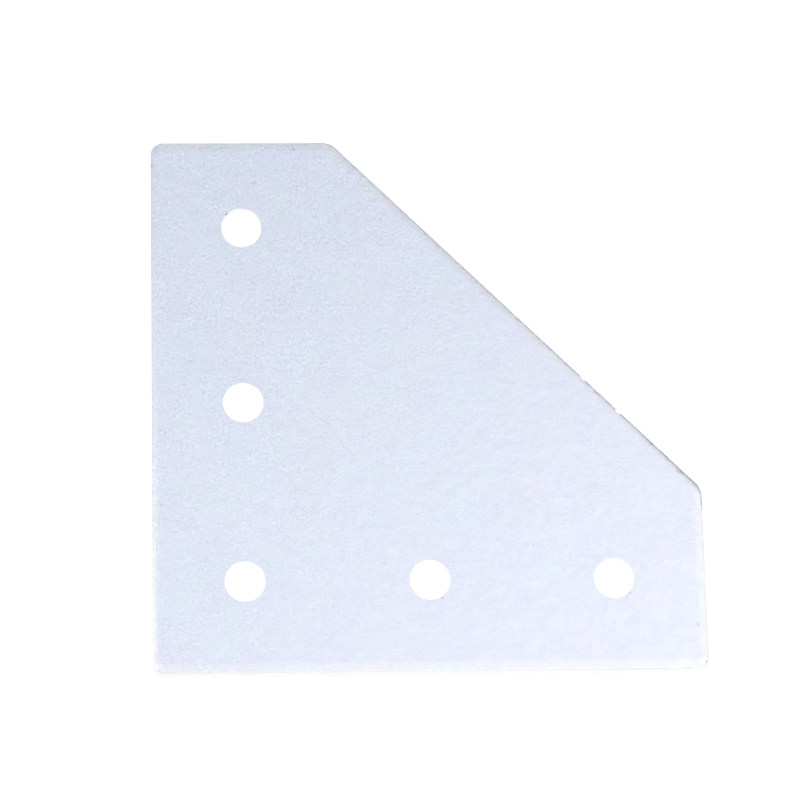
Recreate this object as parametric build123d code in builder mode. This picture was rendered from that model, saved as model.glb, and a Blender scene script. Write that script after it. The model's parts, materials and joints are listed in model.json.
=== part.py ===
from build123d import *
import os

# Flat corner plate that joins two T-slot extrusions at a right angle. It is cut from one
# piece of aluminium plate: each leg lies over one extrusion, with its row of bolt holes
# above the slot, and a slanted edge runs between the ends of the two legs.
#
# Frame: the origin is on the axis of the corner hole, at the back face, which is the face
# that lies against the extrusions. +X and +Y run along the legs and +Z out of the front
# face. Lengths are in millimetres.

# ---- driving dimensions ----
hole_pitch = 30.0  # from one bolt hole to the next along a leg
holes_per_leg = 3  # bolt holes in each row, with the corner hole in both rows
leg_width = 30.0  # square end of each leg, as wide as the extrusion under it
end_margin = 15.0  # from the last hole's axis to the end of its leg
plate_thickness = 4.0
bolt_hole_diameter = 6.5  # clearance for an M6 screw
square_flat_radius = 0.2  # right-angled corners of the flat on the front, inside the rolled edge
slanted_flat_radius = 1.2  # corners of that flat at the ends of the slanted edge
roll_width = 1.8  # how far the rolled edge reaches in over the front face
roll_depth = 0.45  # how far the front face has dropped where it meets the side
back_edge_break = 0.25  # chamfer round the back face
hole_rim_break = 0.1  # radius on both rims of each bolt hole

# ---- sizes that follow ----
# A hole row runs down the middle of its leg, so it stands half a leg in from the side.
side_margin = leg_width / 2
leg_reach = hole_pitch * (holes_per_leg - 1) + end_margin

# The rolled edge keeps its width round a corner, so the outline turns on a larger radius
# than the flat that it surrounds.
square_corner_radius = square_flat_radius + roll_width
slanted_corner_radius = slanted_flat_radius + roll_width

# The outline, counter-clockwise from the corner that the two legs share.
outline_corners = [
    (-side_margin, -side_margin),
    (leg_reach, -side_margin),
    (leg_reach, side_margin),
    (side_margin, leg_reach),
    (-side_margin, leg_reach),
]
outline_radii = [
    square_corner_radius,
    square_corner_radius,
    slanted_corner_radius,
    slanted_corner_radius,
    square_corner_radius,
]

# One row of holes along +X from the corner hole, and the rest of the other along +Y.
row_steps = [hole_pitch * step for step in range(holes_per_leg)]
bolt_spots = [(step, 0) for step in row_steps] + [(0, step) for step in row_steps[1:]]

with BuildLine() as outline:
    FilletPolyline(outline_corners, radius=outline_radii, close=True)

with BuildPart() as joining_plate:
    # The blank: five straight sides with rounded corners.
    with BuildSketch(Plane.XY):
        make_face(outline.edges())
    extrude(amount=plate_thickness)

    # Chamfer round the back face.
    back_face = joining_plate.faces().sort_by(Axis.Z)[0]
    chamfer(back_face.outer_wire().edges(), length=back_edge_break)

    # The rolled edge: the front face draws down into the sides along a quarter of an
    # ellipse, level where it leaves the face and upright where it meets the side. The
    # sketch is the section of the metal that is gone, with X outwards and Y up, and it
    # runs once round the front outline.
    front_outline = outline.wire().moved(Location((0, 0, plate_thickness)))
    travel = front_outline % 0
    outwards = travel.cross(Vector(0, 0, 1))
    with BuildSketch(Plane(origin=front_outline @ 0, x_dir=outwards, z_dir=-travel)):
        with BuildLine():
            roll = EllipticalCenterArc((-roll_width, -roll_depth), roll_width, roll_depth)
            Polyline(
                roll @ 0,
                (roll_depth, -roll_depth),
                (roll_depth, roll_depth),
                (-roll_width, roll_depth),
                roll @ 1,
            )
        make_face()
    sweep(path=front_outline, mode=Mode.SUBTRACT)

    # The bolt holes, straight through, with both rims just broken.
    with Locations(*bolt_spots):
        Hole(radius=bolt_hole_diameter / 2)
    fillet(joining_plate.edges(Select.LAST).filter_by(GeomType.CIRCLE), radius=hole_rim_break)

joining_plate.part.label = "joining_plate"

os.makedirs("parts", exist_ok=True)
export_step(joining_plate.part, "parts/joining_plate.step")
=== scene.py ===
# %% [markdown]
# # A joining plate for T-slot extrusion
#
# The object is one flat L-shaped plate of aluminium, 4 mm thick, with five bolt holes. It was
# cut on a press, so its front edge is rolled over a little, and then the whole plate was
# blasted and anodised, which gives it a fine, even, slightly blue frost.
#
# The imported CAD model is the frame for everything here. It gives the plate's box and the
# places of its holes, in metres, with the origin on the corner hole's axis at the back face.

import json
import math

import bmesh
import bpy
from mathutils import Matrix, Vector


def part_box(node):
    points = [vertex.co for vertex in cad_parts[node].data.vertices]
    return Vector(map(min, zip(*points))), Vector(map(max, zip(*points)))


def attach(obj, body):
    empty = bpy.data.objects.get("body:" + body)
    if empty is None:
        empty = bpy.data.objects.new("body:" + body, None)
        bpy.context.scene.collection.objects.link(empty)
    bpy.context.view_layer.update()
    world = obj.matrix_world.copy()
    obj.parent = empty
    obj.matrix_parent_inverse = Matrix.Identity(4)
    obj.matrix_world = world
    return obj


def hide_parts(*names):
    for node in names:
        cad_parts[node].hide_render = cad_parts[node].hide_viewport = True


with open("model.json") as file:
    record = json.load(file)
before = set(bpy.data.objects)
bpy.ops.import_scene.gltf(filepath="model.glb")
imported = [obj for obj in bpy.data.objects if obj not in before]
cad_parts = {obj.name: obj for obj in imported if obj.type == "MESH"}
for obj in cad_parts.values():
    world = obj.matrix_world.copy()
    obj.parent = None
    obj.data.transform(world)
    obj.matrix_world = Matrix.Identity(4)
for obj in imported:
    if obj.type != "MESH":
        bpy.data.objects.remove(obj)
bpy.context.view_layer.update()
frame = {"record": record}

# %% Sizes that come from the frame
MM = 0.001
low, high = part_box("joining_plate")
size = high - low
centre = (low + high) / 2
half_leg = -low.x
bores = [mount for mount in frame["record"]["mounts"] if mount["kind"] == "bore"]
hole_radius = bores[0]["dims"]["r_mm"] * MM
hole_spots = [Vector(mount["pos_m"]) for mount in bores]
print("plate", [round(length / MM, 2) for length in size], "mm, with", len(bores), "holes")

# %% [markdown]
# ## Two small helpers
#
# Blender's operators act on whatever is selected, so every step starts by choosing its own
# object, and in edit mode its own edges. Picking edges by a test on their place keeps the
# script readable, and it goes on working when a size changes.

# %% Choose one object, or the parts of a mesh that pass a test
def choose(obj):
    """Makes obj the only selected object and the active one."""
    bpy.ops.object.select_all(action="DESELECT")
    obj.select_set(True)
    bpy.context.view_layer.objects.active = obj


def select_edges(obj, test):
    """Selects, in edit mode, the edges for which test(edge) is true, and counts them."""
    bpy.ops.mesh.select_mode(type="EDGE")
    bpy.ops.mesh.select_all(action="DESELECT")
    mesh = bmesh.from_edit_mesh(obj.data)
    for edge in mesh.edges:
        edge.select = test(edge)
    mesh.select_flush_mode()
    bmesh.update_edit_mesh(obj.data)
    return sum(edge.select for edge in mesh.edges)


# %% [markdown]
# ## The blank
#
# On the press, the blank is a square with one corner cut off between the ends of its two
# legs. Here it starts as a cube stretched to the CAD box, and bisect cuts the corner off and
# closes the cut. A polygon typed in point by point would give the same five sides, but a cut
# plane says better what the slanted edge is: a line from the end of one leg to the end of
# the other.

# %% Add the blank and cut its slanted edge
bpy.ops.object.select_all(action="DESELECT")
bpy.ops.mesh.primitive_cube_add(size=1, location=centre, scale=size)
plate = bpy.context.object
plate.name = "corner_joining_plate"
bpy.ops.object.transform_apply(location=True, rotation=True, scale=True)

slant_end = Vector((high.x, half_leg, 0))
slant_facing = Vector((1, 1, 0)).normalized()
bpy.ops.object.mode_set(mode="EDIT")
bpy.ops.mesh.select_all(action="SELECT")
bpy.ops.mesh.bisect(plane_co=slant_end, plane_no=(1, 1, 0), use_fill=True, clear_outer=True)
print("blank with", len(bmesh.from_edit_mesh(plate.data).faces), "faces")

# %% [markdown]
# ## The five corners
#
# A punch never leaves a sharp corner. The three right angles are turned on a 2 mm radius,
# and the two blunt corners at the ends of the slanted edge on 3 mm. The upright edges are
# bevelled in two goes. Bevel's width is the length of the tangent, which for a right angle is
# the radius itself, and for a turn of 45 degrees is the radius times the tangent of half that.

# %% Round the upright edges
SQUARE_CORNER = 2.0 * MM
BLUNT_CORNER = 3.0 * MM
NEAR = 0.01 * MM


def is_upright(edge):
    """True for an edge that runs from the back of the plate to the front."""
    return abs(edge.verts[0].co.z - edge.verts[1].co.z) > size.z / 2


def is_blunt(edge):
    """True for the two upright edges where the slanted side meets a leg's end."""
    foot = edge.verts[0].co
    return is_upright(edge) and abs(foot.x + foot.y - slant_end.x - slant_end.y) < NEAR


def bevel(width, segments):
    """Bevels the selected edges to a round of that width."""
    bpy.ops.mesh.bevel(offset=width, offset_type="OFFSET", segments=segments, profile=0.5,
                       affect="EDGES", clamp_overlap=False)


square_count = select_edges(plate, lambda edge: is_upright(edge) and not is_blunt(edge))
bevel(SQUARE_CORNER, segments=12)
blunt_count = select_edges(plate, is_blunt)
bevel(BLUNT_CORNER * math.tan(math.radians(45 / 2)), segments=8)
print("rounded", square_count, "square and", blunt_count, "blunt corners")

# %% [markdown]
# ## The rolled front edge
#
# Where the punch enters, the metal is drawn down over the edge. The roll is wider than it is
# deep, so a plain round bevel would be wrong. The trick is to stretch the plate in Z, bevel
# the front outline with a true quarter circle, and squash it back: the circle becomes a
# quarter of an ellipse. The back keeps a narrow, almost sharp break.

# %% Roll the front edge over and break the back one
ROLL_WIDTH = 1.8 * MM
ROLL_DEPTH = 0.45 * MM
BACK_BREAK = 0.25 * MM


def stretch_in_z(factor):
    """Makes the whole plate that many times as thick, measured from its back."""
    bpy.ops.mesh.select_all(action="SELECT")
    bpy.ops.transform.resize(value=(1, 1, factor), center_override=(0, 0, 0))


def lies_at(height):
    """A test for the edges that lie level at that height."""
    return lambda edge: all(abs(vert.co.z - height) < NEAR for vert in edge.verts)


stretch = ROLL_WIDTH / ROLL_DEPTH
stretch_in_z(stretch)
front_count = select_edges(plate, lies_at(high.z * stretch))
bevel(ROLL_WIDTH, segments=14)
stretch_in_z(1 / stretch)
back_count = select_edges(plate, lies_at(low.z))
bevel(BACK_BREAK, segments=3)
bpy.ops.object.mode_set(mode="OBJECT")
print("rolled", front_count, "front edges and broke", back_count, "at the back")

# %% [markdown]
# ## The bolt holes
#
# The five holes clear an M6 screw. Each is cut by a cylinder that stands at the CAD model's
# own bore mount, so that a screw put in by its mount goes through. The cylinder reaches out of
# both faces, because a cut that ends level with a face can leave a skin over it.

# %% A cylinder to cut with, and the cut
def add_cutter(spot, radius, sides):
    """An upright cylinder round a spot, longer than the plate is thick."""
    bpy.ops.object.select_all(action="DESELECT")
    bpy.ops.mesh.primitive_cylinder_add(vertices=sides, radius=radius, depth=2 * size.z, location=spot)
    bpy.ops.object.transform_apply(location=True, rotation=True, scale=True)
    return bpy.context.object


def cut_away(cutter):
    """Takes the cutter's shape out of the plate, and throws the cutter away."""
    cut = plate.modifiers.new("cut", "BOOLEAN")
    cut.operation = "DIFFERENCE"
    cut.solver = "EXACT"
    cut.object = cutter
    choose(plate)
    bpy.ops.object.modifier_apply(modifier=cut.name)
    bpy.data.objects.remove(cutter)


# %% [markdown]
# The faces are first cut into patches, with lines halfway between the holes, so that no face
# has to wrap round two of them.

# %% Cut the holes
bpy.ops.object.mode_set(mode="EDIT")
for normal in ((1, 0, 0), (0, 1, 0)):
    for line in (half_leg, 3 * half_leg):
        bpy.ops.mesh.select_all(action="SELECT")
        bpy.ops.mesh.bisect(plane_co=Vector(normal) * line, plane_no=normal)
bpy.ops.object.mode_set(mode="OBJECT")

halfway_up = Vector((0, 0, size.z / 2))
for spot in hole_spots:
    cut_away(add_cutter(spot + halfway_up, hole_radius, sides=96))
print("after drilling", len(plate.data.polygons), "faces")

# %% [markdown]
# Blasting rounds the rims of the holes over, front and back, by about 0.1 mm. The rims are
# found by their distance from a hole's axis.

# %% Break the rims of the holes
RIM_BREAK = 0.1 * MM


def is_rim(edge):
    """True for an edge that lies flat on a hole's wall, which is where its two rims are."""
    ends = [vert.co for vert in edge.verts]
    level = abs(ends[0].z - ends[1].z) < NEAR
    return level and any(all(abs((end - spot).xy.length - hole_radius) < NEAR for end in ends)
                         for spot in hole_spots)


bpy.ops.object.mode_set(mode="EDIT")
rim_count = select_edges(plate, is_rim)
bevel(RIM_BREAK, segments=4)
bpy.ops.object.mode_set(mode="OBJECT")
print("broke", rim_count, "rim edges")

# %% [markdown]
# ## Two nicks
#
# This plate has two small nicks in its slanted edge, each a little over a millimetre long and
# a fifth of a millimetre deep. Each is a bite of a leaning cylinder, which is deepest at the
# front and runs out down the side. Pushing a few points in would do from afar, but the bite
# leaves the crisp rim that a knock leaves.

# %% Nick the slanted edge
NICK_SPOTS = (Vector((56.1, 33.9, 4.0)) * MM, Vector((61.7, 28.1, 4.0)) * MM)
NICK_RADIUS = 1.0 * MM
NICK_DEPTH = 0.22 * MM
LEAN = math.radians(7)

for spot in NICK_SPOTS:
    bite = add_cutter(spot + slant_facing * (NICK_RADIUS - NICK_DEPTH), NICK_RADIUS, sides=64)
    for vert in bite.data.vertices:
        vert.co += slant_facing * (high.z - vert.co.z) * math.tan(LEAN)
    cut_away(bite)
print("nicked", len(NICK_SPOTS), "times,", len(plate.data.polygons), "faces")

# %% [markdown]
# ## Smooth shading that keeps the faces flat
#
# The roll and the holes should look round, and the large faces dead flat. Shading by angle
# smooths what turns gently, and a Weighted Normal modifier then lets the large faces decide
# the normals along their own border, so that no false gradient creeps in over the face.

# %% Shade the plate
SMOOTH_BELOW = math.radians(40)

choose(plate)
bpy.ops.object.shade_smooth_by_angle(angle=SMOOTH_BELOW)
weighted = plate.modifiers.new("flat faces", "WEIGHTED_NORMAL")
weighted.mode = "FACE_AREA"
weighted.weight = 100
weighted.keep_sharp = True
bpy.ops.object.modifier_apply(modifier=weighted.name)

check = bmesh.new()
check.from_mesh(plate.data)
open_edges = sum(not edge.is_manifold for edge in check.edges)
print("volume", round(check.calc_volume() / MM ** 3), "mm3, open edges", open_edges)
check.free()

# %% [markdown]
# ## Blasted, anodised aluminium
#
# From arm's length the plate is one pale silver with a touch of blue. Closer up it has a fine
# frost: craters from 2 mm down to a tenth of a millimetre wide, too shallow to cast a shadow,
# that tilt the surface by a fraction of a degree. They are a bump of fractal noise over a
# fairly rough metal. The colour wanders a little too, in flecks, blotches and soft hues. All
# patterns are in Object coordinates, at real scale, so they stay put on the plate.
#
# A painted texture could be wrapped round the plate instead, but nodes keep the grain sharp from
# any distance and need no file. They are built from masks, which are numbers from 0 to 1 that say
# where something shows, and these helpers make the nodes for them.

# %% Helpers for numbers and masks
def add_node(tree, kind, **settings):
    """Adds a node of that kind, with its settings."""
    node = tree.nodes.new(kind)
    for name, value in settings.items():
        setattr(node, name, value)
    return node


def calculate(tree, operation, *values):
    """One Math node; the values are sockets or numbers."""
    node = add_node(tree, "ShaderNodeMath", operation=operation)
    for socket, value in zip(node.inputs, values):
        if isinstance(value, (int, float)):
            socket.default_value = value
        else:
            tree.links.new(value, socket)
    return node.outputs[0]


def overlap(tree, mask, *others):
    """Multiplies masks, so that the result is full only where all of them are."""
    for other in others:
        mask = calculate(tree, "MULTIPLY", mask, other)
    return mask


def spread(tree, value, low_in, high_in, low_out=0.0, high_out=1.0):
    """Maps value from one range to another, and stops at the ends."""
    node = add_node(tree, "ShaderNodeMapRange", clamp=True)
    for name, number in (("From Min", low_in), ("From Max", high_in),
                         ("To Min", low_out), ("To Max", high_out)):
        node.inputs[name].default_value = number
    tree.links.new(value, node.inputs["Value"])
    return node.outputs["Result"]


# %% Helpers for places and directions
def along(tree, vector, direction):
    """How far a point lies along a direction, or how much a normal faces it."""
    node = add_node(tree, "ShaderNodeVectorMath", operation="DOT_PRODUCT")
    tree.links.new(vector, node.inputs[0])
    node.inputs[1].default_value = direction
    return node.outputs["Value"]


def combine(tree, operation, *values):
    """One Vector Math node, which also works on colours; the values are sockets or vectors."""
    node = add_node(tree, "ShaderNodeVectorMath", operation=operation)
    for socket, value in zip(node.inputs, values):
        if isinstance(value, tuple):
            socket.default_value = value
        else:
            tree.links.new(value, socket)
    return node.outputs["Vector"]


def close_to(tree, coordinates, spot, inner, outer):
    """1 within the inner distance of a spot, and 0 beyond the outer one."""
    node = add_node(tree, "ShaderNodeVectorMath", operation="DISTANCE")
    tree.links.new(coordinates, node.inputs[0])
    node.inputs[1].default_value = spot
    return spread(tree, node.outputs["Value"], inner, outer, 1.0, 0.0)


# %% Start the material
blasted = bpy.data.materials.new("blasted_aluminium")
blasted.use_nodes = True
tree = blasted.node_tree
metal = tree.nodes["Principled BSDF"]
metal.inputs["Metallic"].default_value = 1.0
coordinates = add_node(tree, "ShaderNodeTexCoord")
place = coordinates.outputs["Object"]
facing = coordinates.outputs["Normal"]
print("material", blasted.name, "reads Object coordinates and the surface's facing")

# %% [markdown]
# The colour changes with the slope of the surface, and much of that change is painted light:
# a painted reflection on the roll, and painted highlights on the sides that face the front and
# on the walls of the holes. Tilt is 0 on the flat faces, small on the roll and 1 on the sides and
# the hole walls. Each pair below is the range over which a mask goes from nothing to full. The
# power spreads the small tilts of the roll out, so that a range can tell them apart.

# %% Where the surface turns away
TILT_POWER = 0.3
ROLL_TILTS = (0.12, 0.45)
SIDE_TILTS = (0.70, 0.95)
BORE_TILTS = (0.2, 0.6)
FRONT_FACINGS = (0.5, 0.9)
BORE_MARGIN = 0.15 * MM
BORE_FADE = 0.10 * MM

level = calculate(tree, "ABSOLUTE", along(tree, facing, (0, 0, 1)))
tilt = calculate(tree, "POWER", calculate(tree, "SUBTRACT", 1.0, level), TILT_POWER)
# The roll is painted paler and less blue: a painted reflection.
roll_reflection = spread(tree, tilt, *ROLL_TILTS)
side_tint = spread(tree, tilt, *SIDE_TILTS)
# The sides that face the front are painted paler: a painted highlight.
front_highlight = spread(tree, along(tree, facing, (0, -1, 0)), *FRONT_FACINGS)

# A hole's wall and rims lie within a small margin of its radius, whatever their height.
bore_reach = hole_radius + BORE_MARGIN
flat_place = combine(tree, "MULTIPLY", place, (1, 1, 0))
in_bore = 0.0
for spot in hole_spots:
    here = close_to(tree, flat_place, spot.xy.to_3d(), bore_reach, bore_reach + BORE_FADE)
    in_bore = calculate(tree, "MAXIMUM", in_bore, here)
# The walls and rims of the holes are painted near white: a painted highlight.
bore_highlight = overlap(tree, in_bore, spread(tree, tilt, *BORE_TILTS))
print("masks for the roll, the sides and", len(hole_spots), "holes")

# %% [markdown]
# A dark line runs along the upper edge of the slanted side. It is painted shade: a dark band on
# the steep part of the roll there. It gets stronger and wider towards the right-hand corner, where
# it also smears a little over the face. It is ragged, so it is drawn by noise, and it stops at the
# two nicks. Masks keep it in place: near the slanted side, near the front, and on the steep part
# of the roll. It could be a thin strip of its own, but as painted shade it is a change of colour in the
# metal.

# %% Places on the slanted side
reach = along(tree, place, slant_facing)
slant_reach = slant_end.dot(slant_facing)
on_slant = spread(tree, reach, slant_reach - 3.0 * MM, slant_reach - 2.0 * MM)
beside_line = spread(tree, reach, slant_reach - 1.3 * MM, slant_reach - 0.6 * MM)
near_front = spread(tree, along(tree, place, (0, 0, 1)), high.z - 1.0 * MM, high.z - 0.5 * MM)
rightwards = along(tree, place, (1, -1, 0))
print("the slanted side lies", round(slant_reach / MM, 1), "mm out from the corner hole")

# %% Noise at real scale
def noise(tree, coordinates, width, octaves, roughness):
    """Noise whose largest features are that wide, in metres; returns a value from 0 to 1."""
    node = add_node(tree, "ShaderNodeTexNoise", noise_dimensions="3D")
    node.inputs["Scale"].default_value = 1 / width
    node.inputs["Detail"].default_value = octaves
    node.inputs["Roughness"].default_value = roughness
    tree.links.new(coordinates, node.inputs["Vector"])
    return node.outputs["Fac"]


# %% The dark line along the slanted edge, painted shade
LEFT_STRENGTH = 0.55
WOBBLE = 0.14
WIDER_AT_RIGHT = 0.07
STEEP_FACINGS = (0.28, 0.46)

stronger = spread(tree, rightwards, half_leg - high.x, high.x - half_leg, LEFT_STRENGTH, 1.0)
wobble = spread(tree, noise(tree, place, 1.4 * MM, octaves=3, roughness=0.7), 0.50, 0.68, 0.0, WOBBLE)
wider = spread(tree, rightwards, 38 * MM, 60 * MM, 0.0, WIDER_AT_RIGHT)
looseness = calculate(tree, "ADD", wobble, wider)
steep = spread(tree, calculate(tree, "ADD", along(tree, facing, slant_facing), looseness), *STEEP_FACINGS)
ragged = spread(tree, noise(tree, place, 0.5 * MM, octaves=2, roughness=0.7), 0.35, 0.60, 0.40, 1.0)
edge_shade_line = overlap(tree, ragged, on_slant, near_front, stronger, steep)
print("nodes with the dark line", len(tree.nodes))

# %% Its smear of painted shade, and its gaps at the nicks
SHADE_SMEAR = 0.27
NICK_CLEARANCE = (0.50 * MM, 0.80 * MM)

shade_patches = spread(tree, noise(tree, place, 0.7 * MM, octaves=2, roughness=0.7), 0.52, 0.66, 0.0, SHADE_SMEAR)
right_end = spread(tree, rightwards, 44 * MM, 60 * MM, 0.20, 1.0)
shade_smear = overlap(tree, shade_patches, beside_line, near_front, right_end)
edge_shade_line = calculate(tree, "MAXIMUM", edge_shade_line, shade_smear)
for spot in NICK_SPOTS:
    away = calculate(tree, "SUBTRACT", 1.0, close_to(tree, place, spot, *NICK_CLEARANCE))
    edge_shade_line = overlap(tree, edge_shade_line, away)
print("the shear line stops at", len(NICK_SPOTS), "nicks")

# %% [markdown]
# The other sides have no dark line, but their rolls aren't alike either. The back one ends in a
# grey edge, painted shade on its steep part. The left one is painted dull, as shade, at the far corner
# and bright, as a painted highlight, at the near one. The front one has a thin broken line at its
# foot, towards the right, which turns up the right side for a few millimetres. The slanted one is
# painted a little paler to the right, beside the dark line, as a painted highlight.
#
# Each is a mask on how far the roll has turned to that side, where 0 is level and 1 is upright,
# and on where along the side it is. Made this way, a tone follows the roll round a corner and
# fades there by itself.

# %% The rolls of the other sides
def on_roll(direction, start, full, *others):
    """A mask on the part of the outer roll that has turned so far to one side."""
    turned = spread(tree, along(tree, facing, direction), start, full)
    return overlap(tree, turned, near_front, outside, *others)


outside = calculate(tree, "SUBTRACT", 1.0, in_bore)
rightness = along(tree, place, (1, 0, 0))
farness = along(tree, place, (0, 1, 0))

to_the_right = spread(tree, rightwards, -5 * MM, 20 * MM)
# The paler band on the slanted roll is a painted highlight.
slant_highlight = on_roll(slant_facing, 0.03, 0.10, on_slant, to_the_right)
# The grey edge of the back roll is painted shade.
back_edge_shade = on_roll((-0.6, 0.8, 0), 0.26, 0.36, spread(tree, farness, 45 * MM, 68 * MM))
# Painted shade on the far part of the left roll, and a painted highlight on its near part.
left_shade = on_roll((-1, 0, 0), 0.04, 0.22, spread(tree, farness, 20 * MM, 70 * MM))
left_highlight = on_roll((-1, 0, 0), 0.18, 0.42, spread(tree, farness, 22 * MM, -10 * MM))
front_end = spread(tree, rightness, 38 * MM, 62 * MM)
unbroken = spread(tree, noise(tree, place, 1.0 * MM, octaves=2, roughness=0.6), 0.36, 0.50)
front_line = on_roll((0.5, -0.87, 0), 0.36, 0.50, front_end, unbroken)
front_turn = spread(tree, farness, -9.8 * MM, -10.6 * MM)
short_line = on_roll((1, 0, 0), 0.42, 0.60, front_turn)
print("nodes with the masks of the rolls", len(tree.nodes))

# %% [markdown]
# Each part of the plate has its own tone. The face is the bluest and the sides are barer metal.
# The roll is paler and less blue, a painted reflection; the sides that face the front are painted
# paler, a painted highlight; and the walls of the holes are painted the brightest, another
# painted highlight. Each part could have a material of its own, with a hard border. Here each
# tone goes over the ones before it, as far as its mask lets it, so the borders stay soft.

# %% Blend one colour over another
def blend_colours(tree, factor, first, second):
    """Goes from the first colour to the second as factor goes from 0 to 1."""
    node = add_node(tree, "ShaderNodeMix", data_type="RGBA")
    tree.links.new(factor, node.inputs["Factor"])
    for socket, colour in ((node.inputs[6], first), (node.inputs[7], second)):
        if isinstance(colour, tuple):
            socket.default_value = colour
        else:
            tree.links.new(colour, socket)
    return node.outputs[2]


# %% The tones, part by part
FROST = (0.714, 0.776, 0.913, 1)
# Painted reflection on the roll.
ROLL_REFLECTION = (0.765, 0.780, 0.835, 1)
BARE_SIDE = (0.785, 0.795, 0.825, 1)
# Painted highlight on the sides that face the front.
FRONT_SIDE_HIGHLIGHT = (0.84, 0.845, 0.855, 1)
# Painted highlight: the walls of the holes near white.
BORE_HIGHLIGHT = (0.97, 0.97, 0.97, 1)
# Painted shade on the edge of the back roll.
BACK_SHADE_GREY = (0.61, 0.62, 0.67, 1)
# Painted shade on the far part of the left roll.
LEFT_SHADE = (0.675, 0.70, 0.79, 1)
# Painted highlight on the near part of the left roll.
LEFT_HIGHLIGHT = (0.86, 0.91, 0.88, 1)
FRONT_GREY = (0.73, 0.75, 0.71, 1)
# Painted highlight on the slanted roll, beside the dark line.
SLANT_HIGHLIGHT = (0.780, 0.812, 0.915, 1)
# Painted shade: the dark line along the slanted edge.
EDGE_SHADE_GREY = (0.34, 0.35, 0.38, 1)

side_tone_with_highlight = blend_colours(tree, front_highlight, BARE_SIDE, FRONT_SIDE_HIGHLIGHT)
layers = (
    (roll_reflection, ROLL_REFLECTION),
    (side_tint, side_tone_with_highlight),
    (bore_highlight, BORE_HIGHLIGHT),
    (back_edge_shade, BACK_SHADE_GREY),
    (left_shade, LEFT_SHADE),
    (left_highlight, LEFT_HIGHLIGHT),
    (front_line, FRONT_GREY),
    (short_line, FRONT_GREY),
    (slant_highlight, SLANT_HIGHLIGHT),
    (edge_shade_line, EDGE_SHADE_GREY),
)
colour = FROST
for mask, tone in layers:
    colour = blend_colours(tree, mask, colour, tone)
print("laid", len(layers), "tones over the frost")

# %% [markdown]
# A plate that has been handled carries small dark marks. They are listed here by place and
# radius in millimetres, with how dark each one is. Three of them, just outside the rims of the
# holes 30 and 60 mm out along X, are painted shade beside those rims.

# %% The marks, three of them painted shade
MARKS = (
    # x, y, z, radius, darkness
    (2.2, 67.9, 4.0, 0.45, 0.35),
    (-2.4, 62.4, 4.0, 0.32, 0.85),
    (8.9, 73.7, 4.0, 0.40, 0.30),
    (73.4, -7.8, 4.0, 0.40, 0.25),
    (-13.4, 12.8, 4.0, 0.40, 0.25),
    (-13.6, 25.4, 4.0, 0.30, 0.30),
    (-14.8, 71.0, 3.75, 0.35, 0.60),
    (74.62, -13.88, 3.75, 0.32, 0.60),
    (33.9, 2.9, 4.0, 0.25, 0.30),
    # the next three are painted shade just outside the rims of two holes
    (31.95, -3.05, 4.0, 0.32, 0.35),
    (62.45, -2.45, 4.0, 0.36, 0.40),
    (61.95, -2.9, 4.0, 0.28, 0.25),
)
PIT_AND_SHADE_GREY = (0.35, 0.37, 0.42, 1)
CORE = 0.3

for x, y, z, radius, darkness in MARKS:
    mark = close_to(tree, place, (x * MM, y * MM, z * MM), CORE * radius * MM, radius * MM)
    colour = blend_colours(tree, calculate(tree, "MULTIPLY", mark, darkness), colour, PIT_AND_SHADE_GREY)
print("made", len(MARKS), "marks")

# %% [markdown]
# The frost is flecked, more so towards the top left, in patches, and least on the sides. Wider
# blotches and hues lie under the flecks. All three multiply the colour by something near 1, so
# they leave the tones below as they are on average.

# %% How strong the flecks are, and where
FLECK_HIGH = 0.40
FLECK_LOW = 0.03
SIDE_QUIET = 0.7

to_lower_right = along(tree, place, (0.86, -0.51, 0))
coarse = spread(tree, to_lower_right, -30 * MM, 50 * MM, FLECK_HIGH, FLECK_LOW)
coarse.node.interpolation_type = "SMOOTHSTEP"
patchy = spread(tree, noise(tree, place, 3.0 * MM, octaves=2, roughness=0.6), 0.35, 0.65, 0.45, 1.35)
off_the_sides = calculate(tree, "MULTIPLY_ADD", side_tint, -SIDE_QUIET, 1.0)
coarse = overlap(tree, coarse, patchy, off_the_sides)
print("flecks from", FLECK_LOW, "to", FLECK_HIGH)

# %% Flecks over blotches
FLECK_TINT = (1.22, 1.05, 0.82)
BLOTCH = 0.09

flecks = calculate(tree, "SUBTRACT", noise(tree, place, 0.45 * MM, octaves=1, roughness=0.9), 0.5)
flecks = calculate(tree, "MULTIPLY", flecks, coarse)

blotches = noise(tree, place, 1.4 * MM, octaves=3, roughness=0.7)
blotches = spread(tree, blotches, 0.0, 1.0, 1 - BLOTCH / 2, 1 + BLOTCH / 2)
colour = combine(tree, "MULTIPLY", colour, combine(tree, "MULTIPLY_ADD", flecks, FLECK_TINT, blotches))

# %% Hues
MOTTLE = 0.11


def noise_colour(tree, coordinates, width, octaves, roughness):
    """Three noises at once, one each for red, green and blue."""
    return noise(tree, coordinates, width, octaves, roughness).node.outputs["Color"]


hues = noise_colour(tree, place, 8.0 * MM, octaves=5, roughness=0.65)
hues = combine(tree, "MULTIPLY_ADD", hues, (MOTTLE,) * 3, (1 - MOTTLE / 2,) * 3)
colour = combine(tree, "MULTIPLY", colour, hues)
tree.links.new(colour, metal.inputs["Base Color"])
print("nodes with the whole colour", len(tree.nodes))

# %% [markdown]
# The craters only tilt the light, so a bump is enough. Real dents of this size would take
# millions of faces and look the same. The metal is also a little smoother at the bottom of a
# crater than on its rim, which breaks the gleam up.

# %% The craters
CRATER_WIDTH = 2.4 * MM
CRATER_DEPTH = 0.09 * MM
ROUGHNESS = (0.42, 0.48)

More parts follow.
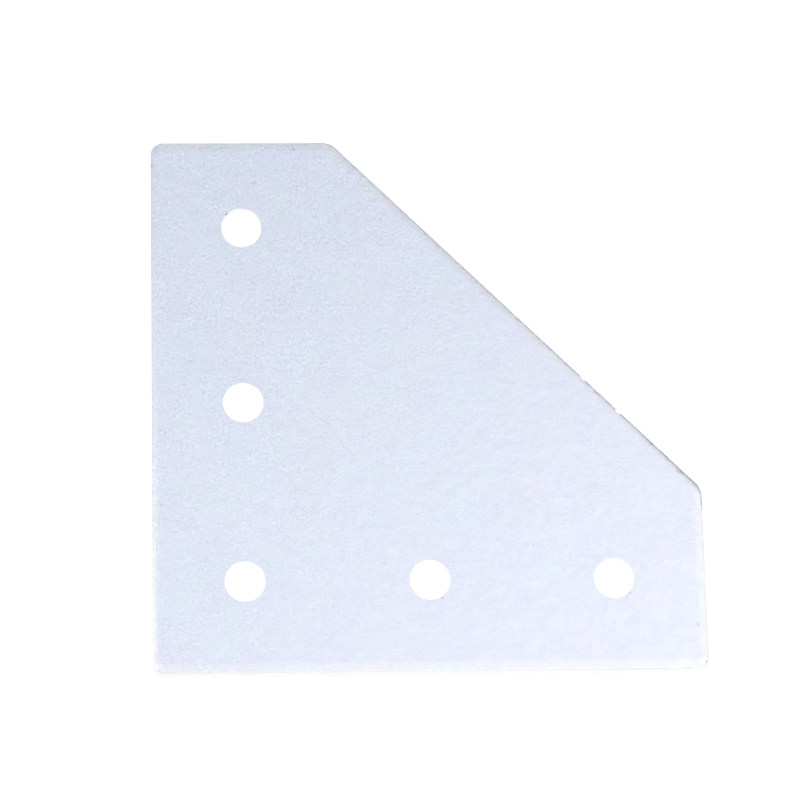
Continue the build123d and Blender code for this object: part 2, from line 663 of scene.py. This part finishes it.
craters = noise(tree, place, CRATER_WIDTH, octaves=5, roughness=0.68)
tree.links.new(spread(tree, craters, 0.3, 0.7, *ROUGHNESS), metal.inputs["Roughness"])
bump = add_node(tree, "ShaderNodeBump")
bump.inputs["Distance"].default_value = CRATER_DEPTH
tree.links.new(craters, bump.inputs["Height"])
tree.links.new(bump.outputs["Normal"], metal.inputs["Normal"])

plate.data.materials.clear()
plate.data.materials.append(blasted)
print("finish", blasted.name, "with", len(tree.nodes), "nodes")

# %% The plate stands for its CAD node and rides on its body
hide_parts("joining_plate")
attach(plate, "root")
print(plate.name, "stands for joining_plate")

# %% [markdown]
# ## A white studio
#
# The plate lies on white paper that turns up into a low round wall, as a cove does in a
# photographer's studio, so that every view has a white ground. The paper's own colour takes
# the plate's shadow. What the camera and the metal see of it is lifted to white by an
# emission that only their rays meet, and so it throws no light on the plate.

# %% The cove
COVE_RADIUS = 3.0
COVE_HEIGHT = 1.2
PAPER_GREY = (0.30, 0.30, 0.30, 1)
PAPER_GLOW = 0.90

bpy.ops.object.select_all(action="DESELECT")
bpy.ops.mesh.primitive_circle_add(vertices=128, radius=COVE_RADIUS, fill_type="NGON",
                                  location=(centre.x, centre.y, 0))
cove = bpy.context.object
cove.name = "paper_cove"
bpy.ops.object.transform_apply(location=True, rotation=True, scale=True)
bpy.ops.object.mode_set(mode="EDIT")
bpy.ops.mesh.select_mode(type="EDGE")
bpy.ops.mesh.select_all(action="SELECT")
bpy.ops.mesh.region_to_loop()
bpy.ops.mesh.extrude_edges_move(TRANSFORM_OT_translate={"value": (0, 0, COVE_HEIGHT)})
bpy.ops.object.mode_set(mode="OBJECT")

paper = bpy.data.materials.new("white_paper")
paper.use_nodes = True
tree = paper.node_tree
sheet = tree.nodes["Principled BSDF"]
sheet.inputs["Base Color"].default_value = PAPER_GREY
sheet.inputs["Roughness"].default_value = 1.0
sheet.inputs["Specular IOR Level"].default_value = 0.0
rays = add_node(tree, "ShaderNodeLightPath")
seen = calculate(tree, "MAXIMUM", rays.outputs["Is Camera Ray"], rays.outputs["Is Glossy Ray"])
seen = calculate(tree, "MAXIMUM", seen, rays.outputs["Is Transmission Ray"])
sheet.inputs["Emission Color"].default_value = (1, 1, 1, 1)
tree.links.new(calculate(tree, "MULTIPLY", seen, PAPER_GLOW), sheet.inputs["Emission Strength"])
cove.data.materials.append(paper)
print("cove", len(cove.data.polygons), "faces")

# %% [markdown]
# ## Light
#
# Soft light comes evenly from all round, and four round softboxes shape it. The key hangs
# over the right-hand leg and is slightly warm, so the metal brightens towards that corner. The
# other three stand at the front, left and right, 40 to 55 degrees up, and light the sides and
# the roll. Metal mirrors what is round it, so wide soft lamps suit it better than small ones,
# which it would show as spots.

# %% The world
SKY = 0.80

world = bpy.data.worlds.new("studio")
world.use_nodes = True
world.node_tree.nodes["Background"].inputs["Color"].default_value = (1, 1, 1, 1)
world.node_tree.nodes["Background"].inputs["Strength"].default_value = SKY
bpy.context.scene.world = world
print("sky at", SKY)

# %% Softboxes
aim = Vector((2 * half_leg, 2 * half_leg, 0))


def softbox(name, spot, width, glow, colour=(1, 1, 1)):
    """A round softbox that faces the plate; glow is how bright its surface looks."""
    lamp = bpy.data.lights.new(name, "AREA")
    lamp.shape = "DISK"
    lamp.size = width
    lamp.energy = glow * math.pi * math.pi * width ** 2 / 4
    lamp.color = colour
    stand = bpy.data.objects.new(name, lamp)
    bpy.context.scene.collection.objects.link(stand)
    stand.location = spot
    stand.rotation_euler = (aim - spot).to_track_quat("-Z", "Y").to_euler()
    print(name, "at", [round(value, 3) for value in spot], "m,", round(lamp.energy, 3), "W")


def round_the_plate(turn, rise, distance=0.7):
    """A place turn degrees round from the front (-Y) towards the right, and rise degrees up."""
    turn, rise = math.radians(turn), math.radians(rise)
    level = math.cos(rise)
    return aim + distance * Vector((math.sin(turn) * level, -math.cos(turn) * level, math.sin(rise)))


KEY_SPOT = Vector((0.166, 0.015, 0.420))
WARM = (1.0, 0.835, 0.665)
WIDE = 0.6

softbox("key_softbox", KEY_SPOT, width=0.313, glow=0.80, colour=WARM)
softbox("front_softbox", round_the_plate(turn=20, rise=40), WIDE, glow=0.73)
softbox("left_softbox", round_the_plate(turn=280, rise=55), WIDE, glow=0.70)
softbox("right_softbox", round_the_plate(turn=80, rise=40), WIDE, glow=0.66)

# %% [markdown]
# ## Camera
#
# A long lens looks almost straight down on the plate, from a little in front of it and turned
# so that the two legs run along the frame.

# %% The camera
stand_at = Vector((-9.8, -127.6, 589.6)) * MM
heading, dip, roll = math.radians(12.6855), math.radians(74.5540), math.radians(11.8668)
forward = Vector((math.sin(heading) * math.cos(dip), math.cos(heading) * math.cos(dip), -math.sin(dip)))
level_right = Vector((math.cos(heading), -math.sin(heading), 0))
level_up = level_right.cross(forward)
right = math.cos(roll) * level_right + math.sin(roll) * level_up
up = math.cos(roll) * level_up - math.sin(roll) * level_right

SENSOR_WIDTH = 36
FOCAL_LENGTH = 166.42
lens = bpy.data.cameras.new("camera")
lens.sensor_width = SENSOR_WIDTH
lens.lens = FOCAL_LENGTH
camera = bpy.data.objects.new("camera", lens)
bpy.context.scene.collection.objects.link(camera)
camera.matrix_world = Matrix((
    (right.x, up.x, -forward.x, stand_at.x),
    (right.y, up.y, -forward.y, stand_at.y),
    (right.z, up.z, -forward.z, stand_at.z),
    (0, 0, 0, 1),
))
bpy.context.scene.camera = camera
bpy.context.scene.view_settings.view_transform = "Standard"
print("camera at", [round(value, 3) for value in stand_at], "m, with a lens of", FOCAL_LENGTH, "mm")
